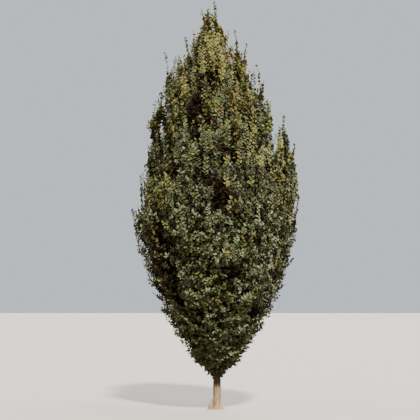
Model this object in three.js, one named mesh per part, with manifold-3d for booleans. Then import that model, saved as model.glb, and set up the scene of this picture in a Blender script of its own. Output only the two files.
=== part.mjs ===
// Upright hornbeam: a small spindle-shaped tree with one leader, rooted in level ground.
// Millimetres, +Z up. The origin is the centre of the flat cut under the trunk, at ground level.
//
// A leader runs up the middle of the crown. Boughs leave it one golden angle apart, climb steeply
// and turn upright near the crown's outline. Each bough ends where it enters its own mass of leaves,
// and the mass goes on from there as a stem with twigs and large leaves, each of which stands for a
// spray. The trunk's top carries the highest mass. Places for leaves are spread over the outline on
// a golden spiral, and each place is served by a twig of the nearest stem.

import * as THREE from "three";
import { mergeVertices } from "three/addons/utils/BufferGeometryUtils.js";
import Module from "manifold-3d";

const wasm = await Module();
wasm.setup();

// Crown: its outline is a spindle, widest at the waist
const treeHeight = 7000;
const crownRadius = 1460;
const crownFoot = 520;
const crownWaist = 3360;
const crownLean = 120; // how far the top stands towards -X of the foot
const upperFullness = 1.4; // 1 is a straight cone above the waist
const lowerFullness = 1.8;
const lowerRounding = 0.82;

// Trunk
const trunkTop = 5300; // where the trunk ends and the highest mass begins
const trunkRadius = 68;
const trunkTopRadius = 13;
const leaderTipRadius = 6;
const trunkTaper = 0.85;
const flareReach = 58; // how far the root flare stands out at ground level
const flareHeight = 105;
const flareLobes = 0.45; // how unevenly the flare is shared between its roots
const fluteCount = 5; // sinews that run down into the root flare
const fluteDepth = 0.07;
const fluteTwist = 0.0011; // radians a millimetre
const trunkSides = 15;
const trunkRings = 11;
const ringCrowding = 1.8; // above 1, rings stand closer together at the foot

// Boughs
const boughCount = 20;
const firstAzimuth = 0.35;
const lowestFork = 540;
const highestFork = 4650;
const forkCrowding = 1.6; // above 1, forks stand closer together low on the trunk
const lowestTip = 2650;
const highestTip = 6620;
const tipReach = 0.86; // a limb's tip, as a share of the crown's radius there
const elbowOut = 0.9; // where a limb turns upright, as shares of its reach and climb
const elbowUp = 0.7;
const sideSway = 90;
const boughRadius = 30;
const boughRadiusAtTop = 15;
const collarSwell = 0.55; // how much wider a bough is where it leaves the trunk
const collarLength = 0.05; // along the limb, as a share of it
const limbTipShare = 0.5; // a limb's radius at its tip, as a share of that at its fork
const lowestBoughEnd = 0.055; // where the bough ends and its mass begins, along the limb
const highestBoughEnd = 0.28;
const boughSides = 5;
const boughRings = 2;
const stemRings = 4;

// Twigs
const leavesOnTwig = 4;
const twigRadius = 17; // at most, and no more than a share of its stem's
const twigOfStem = 0.62;
const twigTaper = 0.75; // a twig's radius at its tip, as a share of that at its root
const twigSides = 3;
const twigSlant = 0.35; // how far a twig climbs along its stem for each millimetre it goes sideways
const lowestTwig = 32; // above the foot of its stem
const twigStagger = 36; // how much higher the lowest twig of one side stands
const shortestTwig = 110;
const twigTrims = [1, 0.88, 0.76, 0.64, 0.52]; // a twig is shortened by these until it fits
const seatFirst = 0.3; // leaves sit between these shares of their twig
const seatLast = 0.92;

// Leaves
const leafSites = 690; // places for leaves, spread evenly over the crown's outline
const slimShare = 150; // added to the crown's radius in sharing them out, so slim ends get enough
const outlineSlices = 400; // for summing the outline
const slopeStep = 20; // for measuring the outline's slope
const leafLength = 390;
const leafWidth = 250;
const leafThickness = 14;
const leafWidest = 0.5; // where a leaf is widest, as a share of its length
const leafFold = 0.14; // how far a leaf's edges stand up, as a share of its width
const leafTilt = 0.5; // radians that a leaf stands out from the outline it lies along
const leafSwing = 0.5; // radians that a leaf's direction varies sideways
const droopHeight = 700; // leaves within this height of the crown's foot hang more and more
const droopOut = 0.7; // how far a hanging leaf goes out for each millimetre down
const leafInset = 110; // leaf tips stand up to this far inside the outline
const leafSlack = [0.7, 1.25]; // shortest and longest a leaf may be drawn, as shares of its length
const leafTrims = [1, 0.85, 0.7, 0.55]; // a leaf that doesn't fit is tried again at these sizes
const leafSunk = 8; // how far the leaf at a stem's tip is sunk in it
const smallLeafBelow = 560; // where the crown is slimmer than this, leaves shrink with it
const leastLeaf = 0.58;

// Clearances
const jointGap = 0.3;
const sliver = 0.05; // finer edges than this, left by joining, are closed up
const weld = 1e-3; // corners nearer than this are one
const outlineEase = 60; // how far a leaf may stand out of the crown's outline
const spaceGap = 26; // between the spaces of two masses
const limbClearance = 56; // between a leaf or twig and the middle of its bough
const trunkClearance = 24;
const limbSamples = 40;
const boughSamples = 16;
const twigTests = [0.2, 0.4, 0.7, 1]; // places along a twig that have to keep to its space

const goldenAngle = Math.PI * (3 - Math.sqrt(5));
const up = new THREE.Vector3(0, 0, 1);
const { lerp, clamp } = THREE.MathUtils;

// Seeded rule: the same two whole numbers always give the same share between 0 and 1.
function chance(seed, index) {
  const wave = Math.sin(seed * 127.1 + index * 311.7) * 43758.5453;
  return wave - Math.floor(wave);
}

// The crown's outline: a spindle's radius at a height.
function crownRadiusAt(height) {
  if (height >= treeHeight || height <= crownFoot) return 0;
  if (height > crownWaist) {
    const rise = (height - crownWaist) / (treeHeight - crownWaist);
    return crownRadius * (1 - rise ** upperFullness);
  }
  const drop = (crownWaist - height) / (crownWaist - crownFoot);
  return crownRadius * (1 - drop ** lowerFullness) ** lowerRounding;
}

// The leader's path: upright at the foot, leaning a little more the higher it gets.
const leaderPath = new THREE.QuadraticBezierCurve3(
  new THREE.Vector3(0, 0, 0),
  new THREE.Vector3(0, 0, treeHeight / 2),
  new THREE.Vector3(-crownLean, 0, treeHeight),
);

function leaderAt(height) {
  return leaderPath.getPoint(height / treeHeight);
}

// The trunk's radius: a tapering bole with shallow flutes, and a root flare that dies away upwards.
function trunkRadiusAt(height, angle) {
  const rise = Math.min(1, height / trunkTop);
  const bole = lerp(trunkRadius, trunkTopRadius, rise ** trunkTaper);
  const flute = Math.cos(fluteCount * angle + fluteTwist * height);
  const flare = flareReach * Math.exp(-height / flareHeight) * (1 + flareLobes * flute);
  return bole * (1 + fluteDepth * flute * (1 - rise)) + flare;
}

// One limb: a bough and the stem of its mass lie on the same path.
function growLimb(number) {
  const rank = (number + 0.5) / boughCount;
  const azimuth = firstAzimuth + number * goldenAngle;
  const outward = new THREE.Vector3(Math.cos(azimuth), Math.sin(azimuth), 0);
  const side = new THREE.Vector3().crossVectors(up, outward);
  const forkHeight = lerp(lowestFork, highestFork, rank ** forkCrowding);
  const tipHeight = lerp(lowestTip, highestTip, rank);
  const reach = crownRadiusAt(tipHeight) * tipReach;
  const sway = sideSway * (chance(number, 1) - 0.5);
  const fork = leaderAt(forkHeight);
  const elbow = fork
    .clone()
    .addScaledVector(outward, reach * elbowOut)
    .addScaledVector(up, (tipHeight - forkHeight) * elbowUp)
    .addScaledVector(side, sway);
  const tip = leaderAt(tipHeight).addScaledVector(outward, reach).addScaledVector(side, -sway);
  const radius = lerp(boughRadius, boughRadiusAtTop, rank);
  return {
    path: new THREE.QuadraticBezierCurve3(fork, elbow, tip),
    side,
    massFrom: lerp(lowestBoughEnd, highestBoughEnd, rank),
    massTo: 1,
    tipLeafSize: lerp(1, leastLeaf, rank),
    radiusAt: (along) => radius * lerp(1, limbTipShare, along),
    collarAt: (along) => radius * collarSwell * Math.exp(-along / collarLength),
  };
}

// The leader is a limb too: the trunk lies on its lower part and the highest mass on the rest.
function growLeader() {
  const massFrom = trunkTop / treeHeight;
  return {
    path: leaderPath,
    side: new THREE.Vector3(0, 1, 0),
    massFrom,
    massTo: 1 - (leafLength * leastLeaf - leafSunk) / treeHeight,
    tipLeafSize: leastLeaf,
    radiusAt: (along) => lerp(trunkTopRadius, leaderTipRadius, (along - massFrom) / (1 - massFrom)),
  };
}

const limbs = Array.from({ length: boughCount }, (_, number) => growLimb(number));
const leader = growLeader();
const everyLimb = [leader, ...limbs];
everyLimb.forEach((limb) => {
  limb.points = limb.path.getPoints(limbSamples);
  limb.boughPoints = Array.from({ length: boughSamples + 1 }, (_, i) =>
    limb.path.getPoint((limb.massFrom * i) / boughSamples),
  );
});

// The direction of a quadratic curve: its two control legs, weighed by the place along it.
function tangentOf({ v0, v1, v2 }, along) {
  const start = v1.clone().sub(v0).multiplyScalar(1 - along);
  const end = v2.clone().sub(v1).multiplyScalar(along);
  return start.add(end).normalize();
}

// A limb's own axes at a place along it: across, along and the third at right angles.
function axesAt(limb, along) {
  const tangent = tangentOf(limb.path, along);
  const across = limb.side.clone().addScaledVector(tangent, -limb.side.dot(tangent)).normalize();
  const third = new THREE.Vector3().crossVectors(across, tangent);
  return { centre: limb.path.getPoint(along), tangent, across, third };
}

// How far along its path a limb has to go to cover a length of millimetres.
function stepAlong(limb, along, millimetres) {
  const probe = 1 / (limbSamples * limbSamples);
  const speed = limb.path.getPoint(along).distanceTo(limb.path.getPoint(along + probe)) / probe;
  return millimetres / speed;
}

// A closed skin round a limb: a capped cylinder whose rings are carried along the path.
function skinAlong(limb, placeOfRing, sides, rings, radius) {
  const skin = new THREE.CylinderGeometry(1, 1, 1, sides, rings);
  const spots = skin.getAttribute("position");
  for (let i = 0; i < spots.count; i++) {
    const along = placeOfRing(spots.getY(i) + 0.5);
    const x = spots.getX(i);
    const z = spots.getZ(i);
    const { centre, across, third } = axesAt(limb, along);
    const reach = radius(along, Math.atan2(z, x));
    centre.addScaledVector(across, x * reach).addScaledVector(third, z * reach);
    spots.setXYZ(i, centre.x, centre.y, centre.z);
  }
  return skin;
}

function solidOf(geometry) {
  const bare = new THREE.BufferGeometry();
  bare.setAttribute("position", geometry.getAttribute("position"));
  bare.setIndex(geometry.getIndex());
  const merged = mergeVertices(bare, weld);
  return new wasm.Manifold(
    new wasm.Mesh({
      numProp: 3,
      vertProperties: new Float32Array(merged.getAttribute("position").array),
      triVerts: new Uint32Array(merged.getIndex().array),
    }),
  );
}

function geometryOf(solid) {
  const mesh = solid.getMesh();
  const geometry = new THREE.BufferGeometry();
  geometry.setAttribute("position", new THREE.BufferAttribute(mesh.vertProperties, 3));
  geometry.setIndex(new THREE.BufferAttribute(mesh.triVerts, 1));
  geometry.computeVertexNormals();
  return geometry;
}

// The largest body of a solid: sealed hollows are filled, loose scraps and slivers are dropped.
function soundBody(solid) {
  const bodies = solid.simplify(sliver).decompose();
  return bodies.reduce((best, body) => (body.volume() > best.volume() ? body : best));
}

// The trunk, or with an allowance the cutter that keeps a bough clear of it.
function trunkSkin(allowance) {
  return skinAlong(
    leader,
    (share) => (share ** ringCrowding * trunkTop) / treeHeight,
    trunkSides,
    trunkRings,
    (along, angle) => trunkRadiusAt(along * treeHeight, angle) + allowance,
  );
}

function boughSolid(limb, trunkCutter) {
  const skin = skinAlong(
    limb,
    (share) => limb.massFrom * share,
    boughSides,
    boughRings,
    (along) => limb.radiusAt(along) + limb.collarAt(along),
  );
  return soundBody(solidOf(skin).subtract(trunkCutter));
}

function stemSkin(limb) {
  const from = limb.massFrom + stepAlong(limb, limb.massFrom, jointGap);
  return skinAlong(limb, (share) => lerp(from, limb.massTo, share), boughSides, stemRings, limb.radiusAt);
}

function distanceTo(limb, point) {
  return Math.sqrt(Math.min(...limb.points.map((spot) => spot.distanceToSquared(point))));
}

function fromLeader(point) {
  const axis = leaderAt(point.z);
  return Math.hypot(point.x - axis.x, point.y - axis.y);
}

// A mass's own space: inside the crown's outline, and nearer to its limb than to any other.
function inOwnSpace(limb, point) {
  const outside = fromLeader(point) > crownRadiusAt(point.z) + outlineEase;
  if (point.z > treeHeight || outside) return false;
  const ownDistance = distanceTo(limb, point);
  return everyLimb.every((other) => other === limb || distanceTo(other, point) - ownDistance > spaceGap);
}

function clearOfBough(limb, point) {
  return limb.boughPoints.every((spot) => spot.distanceTo(point) > limbClearance);
}

function clearOfTrunk(point) {
  return point.z > trunkTop || fromLeader(point) > trunkRadiusAt(point.z, 0) + trunkClearance;
}

function fits(limb, points) {
  return points.every(
    (point) => inOwnSpace(limb, point) && clearOfBough(limb, point) && clearOfTrunk(point),
  );
}

// Heights that share the crown's skin out evenly: the outline's radius is summed slice by slice.
function evenHeights(count) {
  const heights = Array.from({ length: outlineSlices }, (_, i) =>
    lerp(crownFoot, treeHeight, (i + 0.5) / outlineSlices),
  );
  let total = 0;
  const sums = heights.map((height) => (total += crownRadiusAt(height) + slimShare));
  return Array.from({ length: count }, (_, i) => {
    const wanted = ((i + 0.5) / count) * total;
    return heights[sums.findIndex((sum) => sum >= wanted)];
  });
}

// A place for a leaf: where its tip and root belong, which way it points and faces, and its size.
function leafPlace(height, number) {
  const azimuth = number * goldenAngle;
  const outward = new THREE.Vector3(Math.cos(azimuth), Math.sin(azimuth), 0);
  const side = new THREE.Vector3().crossVectors(up, outward);
  const radius = crownRadiusAt(height);
  const rise = crownRadiusAt(height + slopeStep) - crownRadiusAt(height - slopeStep);
  const slope = rise / (2 * slopeStep);
  const upOutline = up.clone().addScaledVector(outward, slope).normalize();
  const offOutline = outward.clone().addScaledVector(up, -slope).normalize();
  const droop = clamp(1 - (height - crownFoot) / droopHeight, 0, 1);
  const hanging = outward.clone().multiplyScalar(droopOut).sub(up).normalize();
  const direction = upOutline
    .multiplyScalar(Math.cos(leafTilt))
    .addScaledVector(offOutline, Math.sin(leafTilt))
    .lerp(hanging, droop)
    .addScaledVector(side, leafSwing * (chance(number, 3) - 0.5))
    .normalize();
  const face = offOutline.addScaledVector(direction, -offOutline.dot(direction)).normalize();
  const size = clamp(radius / smallLeafBelow, leastLeaf, 1);
  const inset = leafInset * size * chance(number, 4);
  const tip = leaderAt(height).addScaledVector(outward, Math.max(0, radius - inset));
  const root = tip.clone().addScaledVector(direction, -leafLength * size);
  return { tip, root, direction, face, size };
}

// The nearest place on the stem of a limb's mass, as a share of the limb's path.
function nearestAlong(limb, point) {
  const first = Math.ceil(limb.massFrom * limbSamples);
  const last = Math.floor(limb.massTo * limbSamples);
  let best = first;
  for (let i = first; i <= last; i++) {
    if (limb.points[i].distanceToSquared(point) < limb.points[best].distanceToSquared(point)) best = i;
  }
  return best / limbSamples;
}

function stemDistance(limb, point) {
  return limb.path.getPoint(nearestAlong(limb, point)).distanceTo(point);
}

// Each place belongs to the limb whose stem is nearest, on one hand or the other.
function dealPlaces() {
  everyLimb.forEach((limb) => {
    limb.places = [];
  });
  evenHeights(leafSites).forEach((height, number) => {
    const place = leafPlace(height, number);
    const middle = place.tip.clone().lerp(place.root, 0.5);
    const owner = everyLimb.reduce((a, b) => (stemDistance(b, middle) < stemDistance(a, middle) ? b : a));
    const along = nearestAlong(owner, place.root);
    const reach = place.root.clone().sub(owner.path.getPoint(along));
    const hand = reach.dot(owner.side) < 0 ? -1 : 1;
    owner.places.push({ ...place, along, hand, sideways: reach.length() });
  });
}

// The places of one mass in sprays: on each hand, the next few up the stem share a twig.
function spraysOf(limb) {
  return [-1, 1].flatMap((hand) => {
    const row = limb.places.filter((place) => place.hand === hand).sort((a, b) => a.along - b.along);
    const count = Math.ceil(row.length / leavesOnTwig);
    return Array.from({ length: count }, (_, i) => row.slice(i * leavesOnTwig, (i + 1) * leavesOnTwig));
  });
}

// A twig goes out from the stem to the root of its furthest leaf, as far as it keeps to its space.
function twigFor(limb, places) {
  const end = places.reduce((a, b) => (b.sideways > a.sideways ? b : a));
  const back = stepAlong(limb, end.along, end.sideways * twigSlant);
  const stagger = end.hand > 0 ? twigStagger : 0;
  const lowest = limb.massFrom + stepAlong(limb, limb.massFrom, lowestTwig + stagger);
  const from = Math.max(lowest, end.along - back);
  const root = limb.path.getPoint(from);
  const reach = end.root.clone().sub(root);
  const direction = reach.clone().normalize();
  const leafSide = places.reduce((sum, place) => sum.add(place.direction), new THREE.Vector3());
  leafSide.addScaledVector(direction, -leafSide.dot(direction)).normalize();
  const wholeLength = Math.max(shortestTwig, reach.length() / seatLast);
  const radius = Math.min(twigRadius, limb.radiusAt(from) * twigOfStem);
  const trims = twigTrims.map((trim) => ({ root, direction, leafSide, radius, length: wholeLength * trim }));
  return trims.find((twig) => fits(limb, twigTests.map((share) => spotOn(twig, share))));
}

function spotOn(twig, share) {
  return twig.root.clone().addScaledVector(twig.direction, twig.length * share);
}

// A three-sided twig, turned so that one flat face lies under its leaves.
function twigSkin(twig) {
  const skin = new THREE.CylinderGeometry(twig.radius * twigTaper, twig.radius, twig.length, twigSides);
  skin.translate(0, twig.length / 2, 0);
  const under = twig.leafSide.clone().negate();
  const across = new THREE.Vector3().crossVectors(twig.direction, under);
  skin.applyMatrix4(new THREE.Matrix4().makeBasis(across, twig.direction, under));
  skin.translate(twig.root.x, twig.root.y, twig.root.z);
  return skin;
}

// A leaf of eight faces: an octahedron drawn out to a point at both ends and folded along its rib.
function leafSkin(root, direction, face, length) {
  const leaf = new THREE.OctahedronGeometry(1);
  const across = new THREE.Vector3().crossVectors(face, direction).normalize();
  const lift = new THREE.Vector3().crossVectors(direction, across);
  const width = (leafWidth * length) / leafLength;
  const spots = leaf.getAttribute("position");
  for (let i = 0; i < spots.count; i++) {
    const [x, y, z] = [spots.getX(i), spots.getY(i), spots.getZ(i)];
    const isEnd = Math.abs(x) > 0.5;
    const along = isEnd ? (length * (x + 1)) / 2 : length * leafWidest;
    const spot = root
      .clone()
      .addScaledVector(direction, along)
      .addScaledVector(across, (y * width) / 2)
      .addScaledVector(lift, (z * leafThickness) / 2 + Math.abs(y) * width * leafFold);
    spots.setXYZ(i, spot.x, spot.y, spot.z);
  }
  return leaf;
}

function cornersOf(geometry) {
  const spots = geometry.getAttribute("position");
  return Array.from({ length: spots.count }, (_, i) => new THREE.Vector3().fromBufferAttribute(spots, i));
}

// The leaves of a twig stand evenly along it, in the order of their places.
function seatsOn(twig, places) {
  const reachOf = (place) => place.root.clone().sub(twig.root).dot(twig.direction);
  const row = [...places].sort((a, b) => reachOf(b) - reachOf(a));
  const step = (seatLast - seatFirst) / (leavesOnTwig - 1);
  return row.map((place, i) => ({ place, root: spotOn(twig, seatLast - step * i) }));
}

// A leaf from its seat on the twig towards its place, at one of the trimmed sizes.
function leafFrom({ place, root }, trim) {
  const reach = place.tip.clone().sub(root);
  const [shortest, longest] = leafSlack.map((slack) => slack * leafLength * place.size);
  const length = clamp(reach.length(), shortest, longest) * trim;
  return leafSkin(root, reach.normalize(), place.face, length);
}

// The leaf that carries a stem on from its tip.
function tipLeafSkin(limb) {
  const { centre, tangent, third } = axesAt(limb, limb.massTo);
  const root = centre.addScaledVector(tangent, -leafSunk);
  return leafSkin(root, tangent, third, leafLength * limb.tipLeafSize);
}

// A mass: its stem and tip leaf, then each twig with the leaves that fit, all fused.
function massSolid(limb) {
  const pieces = [solidOf(stemSkin(limb)), solidOf(tipLeafSkin(limb))];
  const crosses = (solid) => pieces.some((piece) => !solid.intersect(piece).isEmpty());
  spraysOf(limb).forEach((places) => {
    const twig = twigFor(limb, places);
    if (!twig) return;
    const piecesBefore = pieces.length;
    seatsOn(twig, places).forEach((seat) => {
      const tries = leafTrims.map((trim) => leafFrom(seat, trim));
      const inSpace = tries.filter((leaf) => fits(limb, cornersOf(leaf))).map(solidOf);
      const leaf = inSpace.find((solid) => !crosses(solid));
      if (leaf) pieces.push(leaf);
    });
    if (pieces.length > piecesBefore) pieces.push(solidOf(twigSkin(twig)));
  });
  return soundBody(wasm.Manifold.union(pieces));
}

const bark = new THREE.MeshStandardMaterial({ color: 0x8b7d6b, roughness: 0.9, metalness: 0 });
const darkBark = new THREE.MeshStandardMaterial({ color: 0x5e5347, roughness: 0.9, metalness: 0 });
const leafGreen = new THREE.MeshStandardMaterial({ color: 0x47592a, roughness: 0.6, metalness: 0 });
const leafOlive = new THREE.MeshStandardMaterial({ color: 0x6d6a2a, roughness: 0.6, metalness: 0 });

function namedMesh(name, geometry, material) {
  const mesh = new THREE.Mesh(geometry, material);
  mesh.name = name;
  return mesh;
}

dealPlaces();
const tree = new THREE.Group();
tree.name = "upright_hornbeam";
tree.add(namedMesh("trunk", trunkSkin(0), bark));
const trunkCutter = solidOf(trunkSkin(jointGap));
limbs.forEach((limb, number) => {
  const label = String(number + 1).padStart(2, "0");
  const tint = number < boughCount / 2 ? leafGreen : leafOlive;
  tree.add(namedMesh(`bough_${label}`, geometryOf(boughSolid(limb, trunkCutter)), darkBark));
  tree.add(namedMesh(`leaves_${label}`, geometryOf(massSolid(limb)), tint));
});
tree.add(namedMesh("leaves_top", geometryOf(massSolid(leader)), leafOlive));

export default tree;
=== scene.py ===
"""Upright hornbeam, dressed: fluted bark on trunk and boughs, and a crown of fine twigs and small leaves.

Metres, +Z up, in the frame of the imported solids. The crown grows by the rule of the solids, written
again here and carried further: boughs fork into stems, stems carry branches, branches carry sprays,
and each spray has side shoots with leaves in two ranks. All shapes are worked out as whole arrays.
"""

import math
from collections import namedtuple

import bpy
import numpy as np
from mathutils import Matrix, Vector


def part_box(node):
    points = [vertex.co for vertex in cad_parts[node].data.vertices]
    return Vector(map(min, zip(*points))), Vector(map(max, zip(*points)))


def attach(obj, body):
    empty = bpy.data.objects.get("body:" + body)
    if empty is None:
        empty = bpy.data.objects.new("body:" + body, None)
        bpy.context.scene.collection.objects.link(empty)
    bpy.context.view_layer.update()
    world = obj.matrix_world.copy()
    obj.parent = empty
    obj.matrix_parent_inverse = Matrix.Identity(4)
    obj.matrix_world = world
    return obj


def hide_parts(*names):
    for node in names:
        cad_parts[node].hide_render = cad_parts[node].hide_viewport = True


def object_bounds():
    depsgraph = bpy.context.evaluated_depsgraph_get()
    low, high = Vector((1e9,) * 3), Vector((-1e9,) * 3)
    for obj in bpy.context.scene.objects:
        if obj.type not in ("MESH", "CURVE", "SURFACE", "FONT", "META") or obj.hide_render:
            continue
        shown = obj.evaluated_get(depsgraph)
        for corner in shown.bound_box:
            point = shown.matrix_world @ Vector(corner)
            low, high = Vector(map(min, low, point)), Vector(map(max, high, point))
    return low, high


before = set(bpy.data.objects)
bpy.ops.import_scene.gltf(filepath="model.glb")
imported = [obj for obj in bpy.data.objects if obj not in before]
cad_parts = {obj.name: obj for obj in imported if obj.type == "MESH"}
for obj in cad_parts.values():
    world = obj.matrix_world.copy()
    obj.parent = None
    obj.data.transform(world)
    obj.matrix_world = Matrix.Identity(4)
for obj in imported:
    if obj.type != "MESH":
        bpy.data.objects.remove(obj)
cad_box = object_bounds()

# Crown outline, as in the solids
TREE_HEIGHT = cad_box[1].z
CROWN_RADIUS = 1.46
CROWN_FOOT = 0.52
CROWN_WAIST = 3.36
CROWN_LEAN = 0.12
UPPER_FULLNESS = 1.4
LOWER_FULLNESS = 1.8
LOWER_ROUNDING = 0.82
BULGE = 0.10
BULGE_HEIGHT = 4.15
BULGE_SPAN = 0.50
DENT = 0.09
DENT_HEIGHT = 5.05
DENT_SPAN = 0.55
LEADER = np.array([[0, 0, 0], [0, 0, TREE_HEIGHT / 2], [-CROWN_LEAN, 0, TREE_HEIGHT]])

# Trunk, as in the solids, with finer bark
TRUNK_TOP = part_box("trunk")[1].z
TRUNK_RADIUS = 0.068
TRUNK_TOP_RADIUS = 0.013
TRUNK_TAPER = 0.85
TRUNK_RINGS = 260
TRUNK_SIDES = 96
RINGS_CROWD_LOW = 1.8
FOOT_FLARE = 0.014
FOOT_FLARE_HEIGHT = 0.04
FOOT_WAVES = 11
FOOT_WAVE_DEPTH = 0.2
# Root lobes and one groove: bearing from +Y towards +X in degrees, reach, height, half width in radians
# and how squarely they end at the top
ROOT_LOBES = (
    (262, 0.088, 0.150, 0.19, 3.0),
    (238, -0.022, 0.210, 0.14, 2.0),
    (98, 0.062, 0.042, 0.26, 1.5),
    (214, 0.020, 0.035, 0.30, 1.5),
    (150, 0.024, 0.030, 0.30, 1.5),
    (322, 0.070, 0.090, 0.28, 1.5),
    (28, 0.075, 0.070, 0.28, 1.5),
)
FLUTE_COUNT = 5
FLUTE_DEPTH = 0.07
FLUTE_TWIST = 1.1
FLUTE_WANDER = 0.35
FLUTE_WANDER_RATE = 3.1
# Ridges round a limb: depth as a share of its radius, how many, radians that they turn along it
TRUNK_SINEWS = (0.025, 9, 2.3)
SINEW_WANDER_RATE = 5
TRUNK_STRANDS = (0.015, 17, -3.7)
BOUGH_SINEWS = (0.05, 3, 9)
BOUGH_STRANDS = (0.03, 5, -14)
# Fine cracks: depth, waves round and up the trunk, and the size and rates of each one's wander
CRACK_DEPTH = 0.006
CRACKS_AROUND = 41
CRACKS_AROUND_WANDER = (6, 9, 3)
CRACKS_UP = 23
CRACKS_UP_WANDER = (5, 7)

# Boughs, as in the solids
BOUGH_COUNT = 20
FIRST_AZIMUTH = 0.35
LOWEST_FORK = 0.54
HIGHEST_FORK = 4.65
FORK_CROWDING = 1.6
LOWEST_TIP = 2.65
HIGHEST_TIP = 6.62
TIP_REACH = 0.86
DRAWN_IN_FROM = 5.5
DRAWN_IN_TOP = 0.55
ELBOW_OUT = 0.9
ELBOW_UP = 0.7
SIDE_SWAY = 0.09
BOUGH_RADIUS = 0.030
BOUGH_RADIUS_AT_TOP = 0.015
LIMB_TAPER = 0.8
LIMB_SAMPLES = 40
BARE_FOOT = 0.1
COLLAR_LENGTH = 0.05
KNUCKLES = 47
KNUCKLE_DEPTH = 0.05
KNUCKLE_SHARPNESS = 8
# Skins of the limbs: radius at the tip, rings along, sides around, swell of the collar
BOUGH_SKIN = (0.004, 48, 12, 0.55)
STEM_SKIN = (0.003, 24, 8, 0.4)
BRANCH_SKIN = (0.0034, 7, 5, 0.3)

# Stems that fork from the boughs, and the stem on top of the leader
FORKS_ON_BOUGH = 4
FIRST_STEM = 0.30
STEM_STEP = 0.2
STEM_SCATTER = 0.08
STEM_RADIUS = 0.011
STEM_SPREAD = 0.34
STEM_SPREAD_VARIES = (0.75, 1.25)
STEM_DROP = 0.45
STEM_DROP_VARIES = (0.3, 1.5)
LEAST_STEM_RISE = 0.5
STEM_REACH = (0.66, 0.93)
STEM_STAND = 0.16
STEM_FURTHEST = CROWN_RADIUS - 0.21
STEM_BOW = 0.16
BOW_SAG = 0.05
TOP_STEM_ELBOW = 0.4
TOP_STEM_TIP = TREE_HEIGHT - 0.50

# Leading shoots that stand out of the outline: azimuth in degrees, height of the tip, reach from the leader
LEADING_SHOOTS = (
    (185, 6.56, 0.10),
    (-5, 6.56, 0.10),
    (-6, 6.08, 0.45),
    (8, 5.86, 0.54),
    (170, 5.76, 0.56),
    (184, 5.62, 0.76),
    (305, 5.40, 0.90),
    (216, 5.36, 0.88),
    (-4, 5.36, 0.84),
    (287, 5.10, 1.00),
    (266, 5.00, 1.03),
    (5, 4.90, 0.98),
    (176, 4.84, 1.04),
    (-8, 4.56, 1.22),
    (246, 4.30, 1.16),
    (3, 4.14, 1.34),
    (-4, 3.60, 1.30),
)
FAR_SHOOTS = 10
FAR_AZIMUTHS = (20, 160)
FAR_HEIGHTS = (6.05, 4.0)
FAR_STAND = 0.05
LEADING_RISE = 1.0
LEADING_SLOPE = 0.25
LEADING_BOW = 0.10

# Plumes: short sprays around the last part of every limb, and long whips at its tip
PLUME_LENGTH = 1.25
PLUME_LONGEST_SHARE = 0.7
PLUME_SPRAYS = 17
PLUME_LIFT = 0.5
PLUME_SPREAD = (0.42, 0.10)
PLUME_SPRAY_LENGTH = (0.22, 0.10)
PLUME_SPRAY_VARIES = (0.85, 1.2)
PLUME_SHADE = 0.97
PLUME_TOP = TREE_HEIGHT - 0.40
SLIM_PLUME_BELOW = 0.7
SLIMMEST_PLUME = 0.30
WHIPS_AT_TIP = 2
TIP_WHIP_STEP = 0.08
TIP_WHIP_LIFT = 2.5
TIP_WHIP_LEAN = 0.35
SECOND_WHIP = 0.75
NO_WHIPS_FROM = 6.0
WHIP_LENGTH = (0.30, 0.54)

# Layers of sprays: how many, least and most depth of their tips, lowest and highest, share in shade
BODY_TOP = 6.46
LAYERS = (
    (1600, 0.00, 0.16, CROWN_FOOT, BODY_TOP, 0.0),
    (140, -0.03, 0.09, CROWN_FOOT, 1.0, 0.0),
    (120, 0.00, 0.14, 0.9, 1.7, 0.0),
    (950, 0.20, 0.42, CROWN_FOOT, BODY_TOP, 0.75),
    (520, 0.45, 0.75, CROWN_FOOT, BODY_TOP, 1.0),
    (300, 0.10, 0.26, 0.9, 3.9, 0.3),
    (340, 0.02, 0.20, 4.0, 6.0, 0.0),
    (340, 0.15, 0.50, 4.0, 6.3, 0.2),
)
LAYER_TURN = 1.7
HEIGHT_SLICES = 600
SLIM_SHARE = 0.28
SCATTER = 0.11
LEAST_SCATTER_RADIUS = 0.2
FOOT_CLEAR = 0.01
# Numbers that keep the draws of layers, plumes, whips at tips, leaves and shoots apart
LAYER_NUMBERS = 10000
PLUME_NUMBERS = 80000
WHIP_NUMBERS = 90000
LEAF_NUMBERS = 31.0
SHOOT_NUMBERS = 13.0

# Sprays, and the upright whips among the outer ones
SPRAY_LENGTH = 0.31
SPRAY_VARIES = (0.8, 1.15)
SPRAY_TILT = (0.38, 0.28)
SPRAY_SWING = 0.6
SPRAY_BEND = 0.10
SPRAY_TOP = TREE_HEIGHT - 0.08
SMALL_SPRAY_BELOW = 0.56
LEAST_SPRAY = 0.58
LEAST_CLIMB = 0.3
DROOP_HEIGHT = 0.7
DROOP_OUT = 0.7
RISE_HEIGHTS = (1.4, 4.4)
SLOPE_STEP = 0.02
WHIP_SHARE = 0.3
WHIP_HEIGHTS = (2.0, 3.4)
WHIP_LIFT = 3
WHIP_SUNK = 0.6
# How far the body stands inside its whips, and how far in a tip may lie
BODY_INSET = 0.20
BODY_INSET_SHARE = 0.16
BODY_HEIGHTS = (2.8, 4.4)
INNER_RECESS = 0.4
DEEPEST_SHARE = 0.75
FURTHEST_IN = 0.95

# Grooves between the limbs, and hollows
GROOVE_DEPTH = (0.03, 0.09)
GROOVE_FROM = 0.12
GROOVE_WIDTH = 0.16
GROOVE_FULL = 0.6
GROOVE_DIM = 0.25
HOLLOW_DEPTH = 0.10
HOLLOW_KEPT_HIGH = 0.9
HOLLOW_FULL = 0.9
HOLLOW_DIM = 0.7
HOLLOW_SHADE = 0.8
HOLLOW_DRAWS_BACK = 0.18
DIM_DEPTH = 0.08
DIM_SHADE = 0.5
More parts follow.
